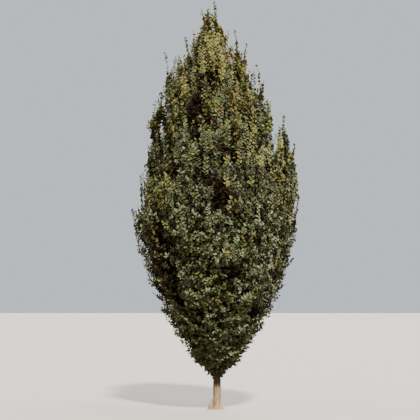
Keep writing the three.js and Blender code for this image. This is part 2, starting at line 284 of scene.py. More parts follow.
# Hollows of the near side: azimuth in degrees, height, half width in radians, half height
NEAR_HOLLOWS = (
    (263, 5.45, 0.35, 0.14),
    (251, 4.90, 0.22, 0.36),
    (247, 4.52, 0.18, 0.20),
    (290, 4.30, 0.13, 0.09),
    (285, 4.20, 0.09, 0.16),
    (261, 4.05, 0.10, 0.10),
    (281, 4.05, 0.16, 0.10),
    (232, 3.92, 0.22, 0.22),
    (267, 3.70, 0.16, 0.12),
    (284, 3.38, 0.27, 0.15),
    (267, 3.32, 0.22, 0.14),
    (303, 3.00, 0.12, 0.14),
    (220, 2.60, 0.28, 0.42),
    (252, 2.50, 0.12, 0.12),
    (269, 2.30, 0.20, 0.11),
    (288, 2.20, 0.22, 0.14),
    (221, 2.02, 0.18, 0.22),
    (313, 1.65, 0.15, 0.12),
    (272, 1.55, 0.12, 0.11),
    (248, 1.55, 0.18, 0.15),
    (219, 1.25, 0.14, 0.12),
    (303, 1.15, 0.18, 0.12),
)
NEAR_SHADE = 0.97
HOLLOW_SQUARENESS = 4
# How far below its tip a spray is tried against the listed hollows
HOLLOW_DROP = 0.05
# Coarse and fine nets of hollows for the far side: cells around, cell height, draw, level
COARSE_NET = (16, 0.75, 4251, 0.46)
FINE_NET = (36, 0.36, 22685, 0.36)
NET_CLIMB = 0.5
NET_ROW = 17
HOLLOW_EDGE = 0.16
LOWER_HOLLOWS = 0.04
FAR_SIDE_EDGE = 2

# Branches, stalks and twigs
SPRAYS_ON_BRANCH = 4
BRANCH_RADIUS = 0.008
BRANCH_SLANT = 0.6
LEAST_BRANCH = 0.05
LOWEST_BRANCH = 0.06
BRANCH_ELBOW = 0.55
BRANCH_SAG = 0.12
STALK_PLACES = (0.35, 0.97)
STALK_ELBOW = 0.6
STALK_SAG = 0.18
STALK_RADII = (0.0046, 0.0034)
TWIG_RADII = (0.0034, 0.0011)
SHOOT_RADII = (0.0020, 0.0010)
TWIG_SIDES = 3
TWIG_RINGS = np.array([0, 0.5, 1.0])
UPRIGHT_FROM = 0.75

# Leaves along an axis of length one: how many, first and last place, turn, size at the foot,
# how much smaller at the tip, size of the end leaf, how many in a row count as one shoot
SPRAY_LEAVES = (8, (0.10, 0.92), 0.95, 1.0, 0.15, 0.85, 3)
WHIP_LEAVES = (17, (0.06, 0.97), 0.75, 1.20, 0.35, 0.8, 6)
# Side shoots: places along the spray, turn, length at its tip and how much more at its foot
SHOOT_PLACES = (0.18, 0.34, 0.50, 0.66)
SHOOT_TURN = 0.72
SHOOT_LENGTH = 0.08
SHOOT_LENGTHENS = 0.60
# Leaves on a side shoot: place along it, turn, size
SHOOT_LEAVES = ((0.40, -0.85, 0.95), (0.70, 0.85, 0.9), (0.85, -0.7, 0.85), (1.0, 0.0, 0.8))

# One leaf, and its six points: share of its length, share of its half width
LEAF_LENGTH = 0.066
LEAF_WIDTH = 0.043
LEAF_SCALE = (1.06, 0.88)
LEAF_VARIES = (0.72, 1.18)
LEAF_FOLD = 0.16
LEAF_DROOP = 0.12
LEAF_SWING = 0.7
LEAF_ROLL = 2.2
LEAF_PITCH = 1.3
PITCH_MIDDLE = 0.55
SHADE_LEAF = 1.35
TO_LIGHT = 0.35
LIGHT_RISE = 0.8
LEAF_POINTS = np.array([[0, 0], [0.27, 1], [0.68, 0.82], [1, 0], [0.68, -0.82], [0.27, -1]])
LEAF_FACES = np.array([[0, 3, 2, 1], [0, 5, 4, 3]])

GOLDEN_RATIO = (math.sqrt(5) - 1) / 2
GOLDEN_ANGLE = 2 * math.pi * (1 - GOLDEN_RATIO)
UP = np.array([0.0, 0.0, 1.0])
EAST = np.array([1.0, 0.0, 0.0])
LEVEL = np.array([1.0, 1.0, 0.0])
SEED_STEP = 127.1
DRAW_STEP = 311.7
STEEPNESS = 43758.5453
TINY = 1e-9

# Sprays as columns: number, root, direction, face, length, share in shade, and the limb that it grows from
Sprays = namedtuple("Sprays", "number root direction face length shade limb")


# Small sums


def chance(seed, draw):
    """The seeded rule: the fraction left by a steep sine of the two numbers.

    The second number tells one draw from another.
    """
    wave = np.sin(np.asarray(seed, float) * SEED_STEP + draw * DRAW_STEP) * STEEPNESS
    return wave - np.floor(wave)


def unit(vectors):
    """Vectors scaled to length one."""
    return vectors / np.maximum(np.linalg.norm(vectors, axis=-1, keepdims=True), TINY)


def lerp(start, end, share):
    """The value a share of the way from start to end."""
    return start + (end - start) * share


def share_between(value, start, end):
    """How far a value lies on the way from start to end, held to 0 and 1."""
    return np.clip((value - start) / (end - start), 0, 1)


def ranks(count):
    """Even shares from 0 to 1, one for each of a count, half a step from both ends."""
    return (np.arange(count) + 0.5) / count


def smooth(share):
    """A share that sets out and arrives gently: 3 s^2 - 2 s^3."""
    return share**2 * (3 - 2 * share)


def starts_run(values):
    """True where a value differs from the one before it, and at the first."""
    return np.concatenate([[True], values[1:] != values[:-1]])


def square_to(vectors, axis):
    """The part of each vector at right angles to its axis, scaled to length one."""
    return unit(vectors - axis * np.sum(vectors * axis, -1, keepdims=True))


def turned(directions, across, turn):
    """Directions turned in their own plane towards across."""
    return directions * np.cos(turn)[..., None] + across * np.sin(turn)[..., None]


def angle_off(angle, bearing):
    """The least angle between an angle in radians and a bearing in degrees."""
    return np.abs((angle - math.radians(bearing) + math.pi) % (2 * math.pi) - math.pi)


def compass(azimuth):
    """Level directions outward and sideways at an azimuth."""
    flat = np.zeros_like(azimuth)
    outward = np.stack([np.cos(azimuth), np.sin(azimuth), flat], -1)
    return outward, np.cross(UP, outward)


def on_curve(controls, share):
    """A quadratic curve: (1-t)^2 of the first control point, 2t(1-t) of the second, t^2 of the third."""
    t = np.asarray(share)[..., None]
    first, second, third = (controls[..., place, :] for place in range(3))
    return (1 - t) ** 2 * first + 2 * t * (1 - t) * second + t**2 * third


def along_curve(controls, share):
    """A quadratic curve's direction: its two control legs, weighed by the place along it."""
    t = np.asarray(share)[..., None]
    legs = controls[..., 1:, :] - controls[..., :-1, :]
    return unit((1 - t) * legs[..., 0, :] + t * legs[..., 1, :])


def chord(curves):
    """The straight distance from each curve's first control point to its last."""
    return np.linalg.norm(curves[:, 2] - curves[:, 0], axis=-1)


def picked(sprays, chosen):
    """The chosen ones of some sprays."""
    return Sprays(*(column[chosen] for column in sprays))


def together(first, second):
    """Two lots of sprays as one, column by column."""
    return Sprays(*(np.concatenate(pair) for pair in zip(first, second)))


# The crown's outline


def crown_radius_at(height):
    """The outline's radius: above the waist R(1 - rise^1.4), below it R(1 - drop^1.8)^0.82."""
    rise = share_between(height, CROWN_WAIST, TREE_HEIGHT)
    drop = share_between(height, CROWN_WAIST, CROWN_FOOT)
    upper = 1 - rise**UPPER_FULLNESS
    lower = (1 - drop**LOWER_FULLNESS) ** LOWER_ROUNDING
    return CROWN_RADIUS * np.where(height > CROWN_WAIST, upper, lower)


def crown_reach(height, azimuth):
    """The outline's radius on one side: a little more on +X and less on -X around the bulge's height.

    Above the bulge there is a shallow dent on +X.
    """
    swell = BULGE * np.exp(-(((height - BULGE_HEIGHT) / BULGE_SPAN) ** 2))
    dent = DENT * np.exp(-(((height - DENT_HEIGHT) / DENT_SPAN) ** 2))
    right = np.cos(azimuth)
    return crown_radius_at(height) * (1 + swell * right - dent * np.maximum(right, 0))


def outline_slope(height, azimuth):
    """How fast the outline widens with height, from its radius a little above and a little below."""
    above = crown_reach(height + SLOPE_STEP, azimuth)
    below = crown_reach(height - SLOPE_STEP, azimuth)
    return (above - below) / (2 * SLOPE_STEP)


def leader_at(height):
    """The leader's middle at a height: its curve is even in height."""
    return on_curve(LEADER, np.asarray(height) / TREE_HEIGHT)


def drawn_in(tip_height):
    """How far limbs are drawn in to the leader: not at all low down, most at the top."""
    return lerp(1, DRAWN_IN_TOP, share_between(tip_height, DRAWN_IN_FROM, HIGHEST_TIP))


# Hollows


def near_hollows(azimuth, height):
    """The listed hollows: each a flat-topped bell over its half width and half height."""
    deepest = np.zeros_like(height)
    for bearing, middle, wide, tall in NEAR_HOLLOWS:
        aside = (angle_off(azimuth, bearing) / wide) ** HOLLOW_SQUARENESS
        apart = ((height - middle) / tall) ** HOLLOW_SQUARENESS
        deepest = np.maximum(deepest, np.exp(-aside - apart))
    return deepest


def hollow_net(azimuth, height, more, cells, step, draw, level):
    """Smooth chance between the knots of a net wound round the crown, turned to 1 below a level."""
    around = np.mod(azimuth / (2 * math.pi), 1) * cells
    up = height / step + NET_CLIMB * around / cells
    column = np.floor(around)
    row = np.floor(up)
    along = smooth(around - column)
    rise = smooth(up - row)

    def knot(right, over):
        """Chance at one corner of the net's cell."""
        return chance((column + right) % cells + NET_ROW * (row + over), draw)

    value = lerp(lerp(knot(0, 0), knot(1, 0), along), lerp(knot(0, 1), knot(1, 1), along), rise)
    return np.clip((level + more - value) / HOLLOW_EDGE, 0, 1)


def far_hollows(azimuth, height):
    """How hollow the crown's far side is by the two nets, 0 to 1, with a little more low down."""
    more = LOWER_HOLLOWS * np.clip(CROWN_WAIST - height, 0, 1)
    far_side = np.clip(0.5 + FAR_SIDE_EDGE * np.sin(azimuth), 0, 1)
    coarse = hollow_net(azimuth, height, more, *COARSE_NET)
    fine = hollow_net(azimuth, height, more, *FINE_NET)
    return far_side * np.maximum(coarse, fine)


# Curves of the limbs


def bough_curves():
    """Control points of the boughs: fork on the leader, elbow near the outline, tip inside it."""
    number = np.arange(BOUGH_COUNT)
    rank = ranks(BOUGH_COUNT)
    outward, side = compass(FIRST_AZIMUTH + number * GOLDEN_ANGLE)
    fork_height = lerp(LOWEST_FORK, HIGHEST_FORK, rank**FORK_CROWDING)
    tip_height = lerp(LOWEST_TIP, HIGHEST_TIP, rank)
    reach = crown_radius_at(tip_height) * TIP_REACH * drawn_in(tip_height)
    sway = SIDE_SWAY * (chance(number, 1) - 0.5)
    fork = leader_at(fork_height)
    climb = (tip_height - fork_height) * ELBOW_UP
    elbow = fork + outward * (reach * ELBOW_OUT)[:, None] + UP * climb[:, None] + side * sway[:, None]
    tip = leader_at(tip_height) + outward * reach[:, None] - side * sway[:, None]
    return np.stack([fork, elbow, tip], 1)


def bowed(fork, tip, outward, bow):
    """Control points of shoots whose elbow, midway, is bowed outward and sags a little."""
    elbow = lerp(fork, tip, 0.5) + outward * bow[:, None] - UP * BOW_SAG
    return np.stack([fork, elbow, tip], 1)


def stem_curves(boughs):
    """Stems that fork from each bough, to one hand and the other, and rise to the outline lower down."""
    number = np.arange(BOUGH_COUNT * FORKS_ON_BOUGH)
    bough = number // FORKS_ON_BOUGH
    turn = number % FORKS_ON_BOUGH
    hand = np.where((turn + bough) % 2 == 0, 1.0, -1.0)
    share = FIRST_STEM + STEM_STEP * turn + STEM_SCATTER * chance(number, 11)
    fork = on_curve(boughs[bough], share)
    tip = boughs[bough, 2]
    azimuth = np.arctan2(tip[:, 1], tip[:, 0] - leader_at(tip[:, 2])[:, 0])
    azimuth = azimuth + hand * STEM_SPREAD * lerp(*STEM_SPREAD_VARIES, chance(number, 12))
    drop = STEM_DROP * lerp(*STEM_DROP_VARIES, chance(number, 13))
    tip_height = np.maximum(tip[:, 2] - drop, fork[:, 2] + LEAST_STEM_RISE)
    outward, _ = compass(azimuth)
    reach = crown_reach(tip_height - STEM_STAND, azimuth) * lerp(*STEM_REACH, chance(number, 14))
    drawn_back = 1 - HOLLOW_DRAWS_BACK * near_hollows(azimuth, tip_height - STEM_STAND)
    reach = np.minimum(reach * drawn_in(tip_height) * drawn_back, STEM_FURTHEST)
    stem_tip = leader_at(tip_height) + outward * reach[:, None]
    return bowed(fork, stem_tip, outward, STEM_BOW * reach)


def leading_curves(limbs):
    """Leading shoots: each forks from the limb nearest to a place well below it and bends up to its tip.

    Those of the near side are listed. On the far side they step down and to and fro by the golden ratio.
    """
    azimuth, tip_height, reach = np.array(LEADING_SHOOTS).T
    far_height = lerp(*FAR_HEIGHTS, ranks(FAR_SHOOTS))
    far_azimuth = lerp(*FAR_AZIMUTHS, np.arange(FAR_SHOOTS) * GOLDEN_RATIO % 1)
    azimuth = np.append(azimuth, far_azimuth)
    tip_height = np.append(tip_height, far_height)
    reach = np.append(reach, crown_radius_at(far_height) + FAR_STAND)
    outward, _ = compass(np.radians(azimuth))
    tip = leader_at(tip_height) + outward * reach[:, None]
    below = tip - UP * LEADING_RISE - outward * (LEADING_SLOPE * reach)[:, None]
    limb, share, _ = nearest_limb(below, limbs)
    fork = on_curve(limbs[limb], share)
    return bowed(fork, tip, outward, LEADING_BOW * reach)


def nearest_limb(points, limbs):
    """For each point the nearest limb, the share of that limb's curve and the distance."""
    shares = np.linspace(BARE_FOOT, 1, LIMB_SAMPLES)
    spots = on_curve(limbs[:, None], np.broadcast_to(shares, (len(limbs), LIMB_SAMPLES)))
    best = np.full(len(points), np.inf)
    limb = np.zeros(len(points), int)
    share = np.zeros(len(points))
    for number in range(len(limbs)):
        gap = np.linalg.norm(points[:, None] - spots[number][None], axis=-1)
        place = gap.argmin(1)
        least = gap[np.arange(len(points)), place]
        closer = least < best
        best[closer] = least[closer]
        limb[closer] = number
        share[closer] = shares[place[closer]]
    return limb, share, best


def crown_frame():
    """Curves of the boughs, and of the stems: forked ones, the leader's top and the leading shoots."""
    boughs = bough_curves()
    stems = stem_curves(boughs)
    leading = leading_curves(np.concatenate([boughs, stems]))
    elbow = lerp(TRUNK_TOP, TREE_HEIGHT, TOP_STEM_ELBOW)
    top = leader_at([TRUNK_TOP, elbow, TOP_STEM_TIP])
    return boughs, np.concatenate([stems, top[None], leading])


# Places of the sprays


def even_heights(count, lowest, highest):
    """Heights that share the crown's skin out evenly, by the running sum of the outline's radius."""
    heights = lerp(lowest, highest, ranks(HEIGHT_SLICES))
    sums = np.cumsum(crown_radius_at(heights) + SLIM_SHARE)
    return np.interp(ranks(count) * sums[-1], sums, heights)


def layer_places():
    """Places on golden spirals over the outline, layer by layer, as the solids place leaves.

    Each is scattered a little. Returns numbers, heights, azimuths, insets and shares in shade.
    """
    rows = []
    for layer, (count, least_inset, most_inset, lowest, highest, shade) in enumerate(LAYERS):
        number = np.arange(count) + LAYER_NUMBERS * layer
        height = even_heights(count, lowest, highest) + SCATTER * (chance(number, 7) - 0.5)
        height = np.clip(height, CROWN_FOOT + FOOT_CLEAR, BODY_TOP)
        spread = SCATTER / np.maximum(crown_radius_at(height), LEAST_SCATTER_RADIUS)
        spiral = np.arange(count) * GOLDEN_ANGLE + LAYER_TURN * layer
        azimuth = spiral + spread * (chance(number, 8) - 0.5)
        inset = lerp(least_inset, most_inset, chance(number, 4))
        rows.append((number, height, azimuth, inset, np.full(count, shade)))
    return [np.concatenate(column) for column in zip(*rows)]


def spray_directions(number, height, azimuth, rise):
    """Directions and faces of sprays: up along the outline and tilted out from it; low down they hang."""
    outward, side = compass(azimuth)
    slope = outline_slope(height, azimuth)[:, None]
    up_outline = unit(UP + outward * slope)
    off_outline = unit(outward - UP * slope)
    tilt = lerp(*SPRAY_TILT, rise)
    direction = turned(up_outline, off_outline, tilt)
    droop = np.clip(1 - (height - CROWN_FOOT) / DROOP_HEIGHT, 0, 1)[:, None]
    direction = lerp(direction, unit(outward * DROOP_OUT - UP), droop)
    direction = unit(direction + side * (SPRAY_SWING * (chance(number, 3) - 0.5))[:, None])
    face = square_to(off_outline + side * (chance(number, 5) - 0.5)[:, None], direction)
    return direction, face


def spray_places(limbs):
    """Sprays in layers over the outline.

    A spray's tip is drawn in by its layer's depth, and further where no limb is near, which leaves grooves.
    High up the body stands inside the upright whips, which are dealt among the outer sprays.
    In hollows some outer sprays stand further in, and they and the inner ones take a share of painted
    shade.
    Returns the sprays, each one's place along the limb nearest to it, and which are whips.
    """
    number, height, azimuth, inset, layer_shade = layer_places()
    outer = layer_shade == 0
    rise = share_between(height, *RISE_HEIGHTS)
    radius = crown_reach(height, azimuth)
    outward, _ = compass(azimuth)
    on_skin = leader_at(height) + outward * radius[:, None]
    _, _, far = nearest_limb(on_skin, limbs)
    groove = np.clip((far - GROOVE_FROM) / GROOVE_WIDTH, 0, 1) * np.clip(radius / GROOVE_FULL, 0, 1)
    near = near_hollows(azimuth, height - HOLLOW_DROP)
    hollow = far_hollows(azimuth, height) * np.clip(radius / HOLLOW_FULL, 0, 1)
    hollow = hollow * lerp(1, HOLLOW_KEPT_HIGH, rise)
    dim_share = np.maximum.reduce([GROOVE_DIM * groove * rise, HOLLOW_DIM * hollow, near])
    dim = outer & (chance(number, 15) < dim_share)
    whip_share = WHIP_SHARE * share_between(height, *WHIP_HEIGHTS) * (1 - near)
    whip = outer & ~dim & (chance(number, 9) < whip_share)

    hollow = np.maximum(hollow, near)
    body = np.minimum(BODY_INSET, BODY_INSET_SHARE * radius) * share_between(height, *BODY_HEIGHTS)
    recess = groove * lerp(*GROOVE_DEPTH, rise) + body * ~whip
    recess = recess * np.where(outer, 1, INNER_RECESS)
    sunk = HOLLOW_DEPTH * hollow * outer + DIM_DEPTH * dim
    depth = np.minimum(inset + recess + sunk, DEEPEST_SHARE * radius)
    tip = on_skin - outward * depth[:, None]

    direction, face = spray_directions(number, height, azimuth, rise)
    direction = np.where(whip[:, None], unit(direction + WHIP_LIFT * UP), direction)
    face = square_to(face, direction)
    size = np.clip(radius / SMALL_SPRAY_BELOW, LEAST_SPRAY, 1) * lerp(*SPRAY_VARIES, chance(number, 6))
    length = np.where(whip, lerp(*WHIP_LENGTH, chance(number, 10)), SPRAY_LENGTH * size)
    root = tip - direction * (length * np.where(whip, WHIP_SUNK, 1))[:, None]
    room = (SPRAY_TOP - root[:, 2]) / np.maximum(direction[:, 2], LEAST_CLIMB)
    length = np.minimum(length, room)
    inner_shade = np.maximum(layer_shade * (1 - rise), HOLLOW_SHADE * hollow)
    shade = np.where(outer, dim * lerp(DIM_SHADE, NEAR_SHADE, near), inner_shade)
    limb, share, _ = nearest_limb(root, limbs)
    kept = inset < FURTHEST_IN * radius
    sprays = Sprays(number, root, direction, face, length, shade, limb)
    return picked(sprays, kept), share[kept], whip[kept]


def plume_places(limbs):
    """Short sprays up the last part of every limb, in a golden spiral around it, closing to the tip.

    Where they stand in a listed hollow, some take painted shade.
    """
    limb = np.repeat(np.arange(len(limbs)), PLUME_SPRAYS)
    place = np.tile(np.arange(PLUME_SPRAYS), len(limbs))
    number = PLUME_NUMBERS + np.arange(len(limb))
    along = (place + chance(number, 51)) / PLUME_SPRAYS
    share = 1 - np.minimum(PLUME_LENGTH / chord(limbs)[limb], PLUME_LONGEST_SHARE) * (1 - along)
    root = on_curve(limbs[limb], share)
    rising = unit(along_curve(limbs[limb], share) + PLUME_LIFT * UP)
    radial = square_to(compass(place * GOLDEN_ANGLE + limb)[0], rising)
    slim = np.clip(crown_radius_at(limbs[limb, 2, 2]) / SLIM_PLUME_BELOW, SLIMMEST_PLUME, 1)
    direction = turned(rising, radial, slim * lerp(*PLUME_SPREAD, along))
    length = slim * lerp(*PLUME_SPRAY_LENGTH, along) * lerp(*PLUME_SPRAY_VARIES, chance(number, 52))
    room = (PLUME_TOP - root[:, 2]) / np.maximum(direction[:, 2], LEAST_CLIMB)
    length = np.minimum(length, room)
    off_leader = root - leader_at(root[:, 2])
    shade = PLUME_SHADE * near_hollows(np.arctan2(off_leader[:, 1], off_leader[:, 0]), root[:, 2])
    return Sprays(number, root, direction, square_to(radial, direction), length, shade, limb)


def whip_places(limbs):
    """Long upright shoots from the tips of the limbs, near the top one on each leading shoot only."""
    limb = np.repeat(np.arange(len(limbs)), WHIPS_AT_TIP)
    place = np.tile(np.arange(WHIPS_AT_TIP), len(limbs))
    number = WHIP_NUMBERS + np.arange(len(limb))
    leading = limb >= len(limbs) - len(LEADING_SHOOTS) - FAR_SHOOTS
    kept = (limbs[limb, 2, 2] < NO_WHIPS_FROM) | (leading & (place == 0))
    limb, place, number = limb[kept], place[kept], number[kept]
    share = 1 - TIP_WHIP_STEP * place
    root = on_curve(limbs[limb], share)
    outward, _ = compass(chance(number, 61) * 2 * math.pi)
    direction = unit(along_curve(limbs[limb], share) + TIP_WHIP_LIFT * UP + TIP_WHIP_LEAN * outward)
    length = lerp(*WHIP_LENGTH, chance(number, 62)) * np.where(place == 0, 1, SECOND_WHIP)
    length = np.minimum(length, (TREE_HEIGHT - root[:, 2]) / direction[:, 2])
    return Sprays(number, root, direction, square_to(outward, direction), length, np.zeros(len(limb)), limb)


def branch_sprays(limbs, sprays, share):
    """On each hand of a limb, the next few sprays up the limb are dealt to one branch.

    A branch leaves its limb a little below and ends at the root of its furthest spray.
    Returns each spray's branch, and the branches' control points.
    """
    limb = sprays.limb
    reach = sprays.root - on_curve(limbs[limb], share)
    across = np.cross(along_curve(limbs[limb], share), UP)
    hand = (np.sum(reach * across, -1) > 0).astype(int)
    order = np.lexsort((share, hand, limb))
    run = limb[order] * 2 + hand[order]
    run_start = np.maximum.accumulate(np.where(starts_run(run), np.arange(len(run)), 0))
    starts_branch = (np.arange(len(run)) - run_start) % SPRAYS_ON_BRANCH == 0
    branch = np.zeros(len(run), int)
    branch[order] = np.cumsum(starts_branch) - 1
    distance = np.linalg.norm(reach, axis=-1)
    far_first = np.lexsort((-distance, branch))
    furthest = far_first[starts_run(branch[far_first])]
    end = sprays.root[furthest]
    length = np.maximum(distance[furthest], LEAST_BRANCH)
    carrier = limbs[limb[furthest]]
    from_share = np.maximum(share[furthest] - BRANCH_SLANT * length / chord(carrier), LOWEST_BRANCH)
    foot = on_curve(carrier, from_share)
    sag = along_curve(carrier, from_share) * (BRANCH_SAG * length)[:, None]
    elbow = lerp(foot, end, BRANCH_ELBOW) - sag
    return branch, np.stack([foot, elbow, end], 1)


# Joined meshes from arrays


def tubes(paths, radii, sides):
    """Round skins along many paths at once: a ring of points at right angles to the path at each place.

    Rings of one path are joined by four-sided faces, and each end is closed by one face.
    """
    count, rings, _ = paths.shape
    along = unit(np.gradient(paths, axis=1))
    upright = np.abs(along[:, :, 2].mean(1)) > UPRIGHT_FROM
    reference = np.where(upright[:, None], EAST, UP)[:, None, :]
    across = square_to(np.broadcast_to(reference, along.shape), along)
    third = np.cross(along, across)
    turn = np.arange(sides) * 2 * math.pi / sides
    ring = across[:, :, None] * np.cos(turn)[:, None] + third[:, :, None] * np.sin(turn)[:, None]
    points = paths[:, :, None] + ring * radii.reshape(count, rings, -1, 1)
    index = np.arange(count * rings * sides).reshape(count, rings, sides)
    after = np.roll(index, -1, axis=2)
    walls = np.stack([index[:, :-1], after[:, :-1], after[:, 1:], index[:, 1:]], -1).reshape(-1, 4)
    foot = index[:, 0, ::-1].reshape(-1, sides)
    tip = index[:, -1].reshape(-1, sides)
    return points.reshape(-1, 3), [walls, foot, tip]


def leaf_mesh(roots, directions, faces, lengths):
    """Leaves of two halves: pointed ovals folded up along the rib, with the tip bent down."""
    along, sideways = LEAF_POINTS.T
    across = unit(np.cross(faces, directions))
    lift = np.abs(sideways) * LEAF_FOLD * LEAF_WIDTH / LEAF_LENGTH - LEAF_DROOP * along**2
    points = (
        roots[:, None]
        + directions[:, None] * (along * lengths[:, None])[..., None]
        + across[:, None] * (sideways * lengths[:, None] * LEAF_WIDTH / LEAF_LENGTH / 2)[..., None]
        + np.cross(directions, across)[:, None] * (lift * lengths[:, None])[..., None]
    )
    first_points = np.arange(len(roots)) * len(LEAF_POINTS)
    halves = first_points[:, None, None] + LEAF_FACES
    return points.reshape(-1, 3), [halves.reshape(-1, 4)]


def joined(parts):
    """Several meshes as one: points in a row, faces counted on, gathered by their number of corners."""
    points = []
    faces = {}
    start = 0
    for part_points, part_faces in parts:
        for face in part_faces:
            faces.setdefault(face.shape[1], []).append(face + start)
        points.append(part_points)
        start += len(part_points)
    return np.concatenate(points), [np.concatenate(rows) for rows in faces.values()]


def add_piece(name, mesh_arrays, material, replaced, smooth_faces=True, uv=None):
    """A piece from arrays of points and faces, riding on the tree's one body."""
    points, faces = mesh_arrays
    corners = np.concatenate([face.ravel() for face in faces]).astype(np.int32)
    sizes = np.concatenate([np.full(len(face), face.shape[1]) for face in faces])
    starts = np.concatenate([[0], np.cumsum(sizes)[:-1]]).astype(np.int32)
    mesh = bpy.data.meshes.new(name)
    mesh.vertices.add(len(points))
    mesh.vertices.foreach_set("co", points.astype(np.float32).ravel())
    mesh.loops.add(len(corners))
    mesh.loops.foreach_set("vertex_index", corners)
    mesh.polygons.add(len(sizes))
    mesh.polygons.foreach_set("loop_start", starts)
    mesh.polygons.foreach_set("use_smooth", np.full(len(sizes), smooth_faces))
    mesh.update(calc_edges=True)
    if uv is not None:
        layer = mesh.uv_layers.new(name=LEAF_MAP)
        layer.data.foreach_set("uv", uv[corners].astype(np.float32).ravel())
    mesh.validate()
    mesh.materials.append(material)
    piece = bpy.data.objects.new(name, mesh)
    bpy.context.scene.collection.objects.link(piece)
    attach(piece, "root")
    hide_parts(*replaced)


# Trunk and limbs


def ridges(depth, count, turn, angle, along, wander=0):
    """Ridges round a limb that turn along it: depth x sin(count x angle + turn x along + wander)."""
    return depth * np.sin(count * angle + turn * along + wander)


def bark_relief(angle, height):
    """The trunk's relief as a share of its radius: twisting flutes, sinews, strands and fine cracks.

    Flutes, sinews and strands are sines of angle and height. Cracks are a sine round times a sine up.
    """
    wander = FLUTE_WANDER * np.sin(FLUTE_WANDER_RATE * height)
    flute = np.cos(FLUTE_COUNT * angle + FLUTE_TWIST * height + wander)
    sinew = ridges(*TRUNK_SINEWS, angle, height, np.sin(SINEW_WANDER_RATE * height))
    sinew = sinew + ridges(*TRUNK_STRANDS, angle, height)
    size, rate_up, rate_around = CRACKS_AROUND_WANDER
    around = CRACKS_AROUND * angle + size * np.sin(rate_up * height + rate_around * angle)
    size, rate_around = CRACKS_UP_WANDER
    up = CRACKS_UP * height + size * np.sin(rate_around * angle)
    crack = CRACK_DEPTH * np.sin(around) * np.sin(up)
    return FLUTE_DEPTH * flute + sinew + crack


def root_flare(angle, height):
    """How far the foot stands out: a low wavy skirt, and lobes that die away upwards and to each side."""
    waves = 1 + FOOT_WAVE_DEPTH * np.sin(FOOT_WAVES * angle)
    flare = FOOT_FLARE * np.exp(-height / FOOT_FLARE_HEIGHT) * waves
    for bearing, reach, tall, wide, squareness in ROOT_LOBES:
        fall = np.exp(-((height / tall) ** squareness))
        flare = flare + reach * fall * np.exp(-((angle_off(angle, bearing) / wide) ** 2))
    return flare


def trunk_mesh():
    """The trunk: radius = taper x (1 + relief that dies away to the top) + the flare of the roots."""
    height = TRUNK_TOP * np.linspace(0, 1, TRUNK_RINGS) ** RINGS_CROWD_LOW
    angle = math.pi / 2 - np.arange(TRUNK_SIDES) * 2 * math.pi / TRUNK_SIDES
    rise = (height / TRUNK_TOP)[:, None]
    bole = lerp(TRUNK_RADIUS, TRUNK_TOP_RADIUS, rise**TRUNK_TAPER)
    relief = bark_relief(angle, height[:, None]) * (1 - rise)
    radius = bole * (1 + relief) + root_flare(angle, height[:, None])
    points, faces = tubes(leader_at(height)[None], radius[None], TRUNK_SIDES)
    points[:, 2] = np.maximum(points[:, 2], 0)
    return points, faces


def limb_mesh(controls, foot_radius, tip_radius, rings, sides, collar):
    """Tapering limbs along their curves, with a swollen collar at the fork and low ridges in the bark."""
    count = len(controls)
    share = np.linspace(0, 1, rings)
    paths = on_curve(controls[:, None], np.broadcast_to(share, (count, rings)))
    bare = lerp(foot_radius[:, None], tip_radius, share**LIMB_TAPER)
    swell = 1 + collar * np.exp(-share / COLLAR_LENGTH)
    angle = np.arange(sides) * 2 * math.pi / sides
    number = np.arange(count)[:, None]
    ridge = ridges(*BOUGH_SINEWS, angle, share[:, None], number[:, :, None])
    ridge = ridge + ridges(*BOUGH_STRANDS, angle, share[:, None])
    knuckle = KNUCKLE_DEPTH * np.sin(KNUCKLES * share + number) ** KNUCKLE_SHARPNESS
    radius = (bare * swell * (1 + knuckle))[:, :, None] * (1 + ridge)
    return tubes(paths, radius, sides)


# Sprays: twigs and leaves


def two_ranks(count, places, turn, size, shrinks, end_size, in_a_row):
    """Leaves along an axis of length one, to one hand and the other, smaller to the tip, one at its end.

    Rows are along, sideways, turn, size and shoot. A few leaves in a row count as one shoot.
    """
    rows = []
    for rank, along in enumerate(np.linspace(*places, count)):
        hand = 1 if rank % 2 else -1
        rows.append((along, 0.0, hand * turn, size - shrinks * along, rank // in_a_row))
    rows.append((1.0, 0.0, 0.0, end_size, count // in_a_row))
    return rows


def spray_rule():
    """Where leaves and side shoots stand on a spray of length one, in its own plane.

    Returns leaf rows as two_ranks has them, and shoot rows of along, turn and length.
    """
    leaves = two_ranks(*SPRAY_LEAVES)
    shoots = []
    for rank, along in enumerate(SHOOT_PLACES):
        turn = -SHOOT_TURN if rank % 2 else SHOOT_TURN
        length = SHOOT_LENGTHENS * (1 - along) + SHOOT_LENGTH
        shoots.append((along, turn, length))
        shoot = leaves[-1][-1] + 1
        for share, swing, size in SHOOT_LEAVES:
            ahead = along + share * length * math.cos(turn)
            aside = share * length * math.sin(turn)
            leaves.append((ahead, aside, turn + swing, size, shoot))
    return np.array(leaves), np.array(shoots)


def on_spray(sprays, along, sideways):
    """Points in each spray's plane, by shares of its length, bent to its face by the square of along."""
    length = sprays.length[:, None]
    across = np.cross(sprays.face, sprays.direction)
    return (
        sprays.root[:, None]
        + sprays.direction[:, None] * (along * length)[..., None]
        + across[:, None] * (sideways * length)[..., None]
        + sprays.face[:, None] * (SPRAY_BEND * along**2 * length)[..., None]
    )


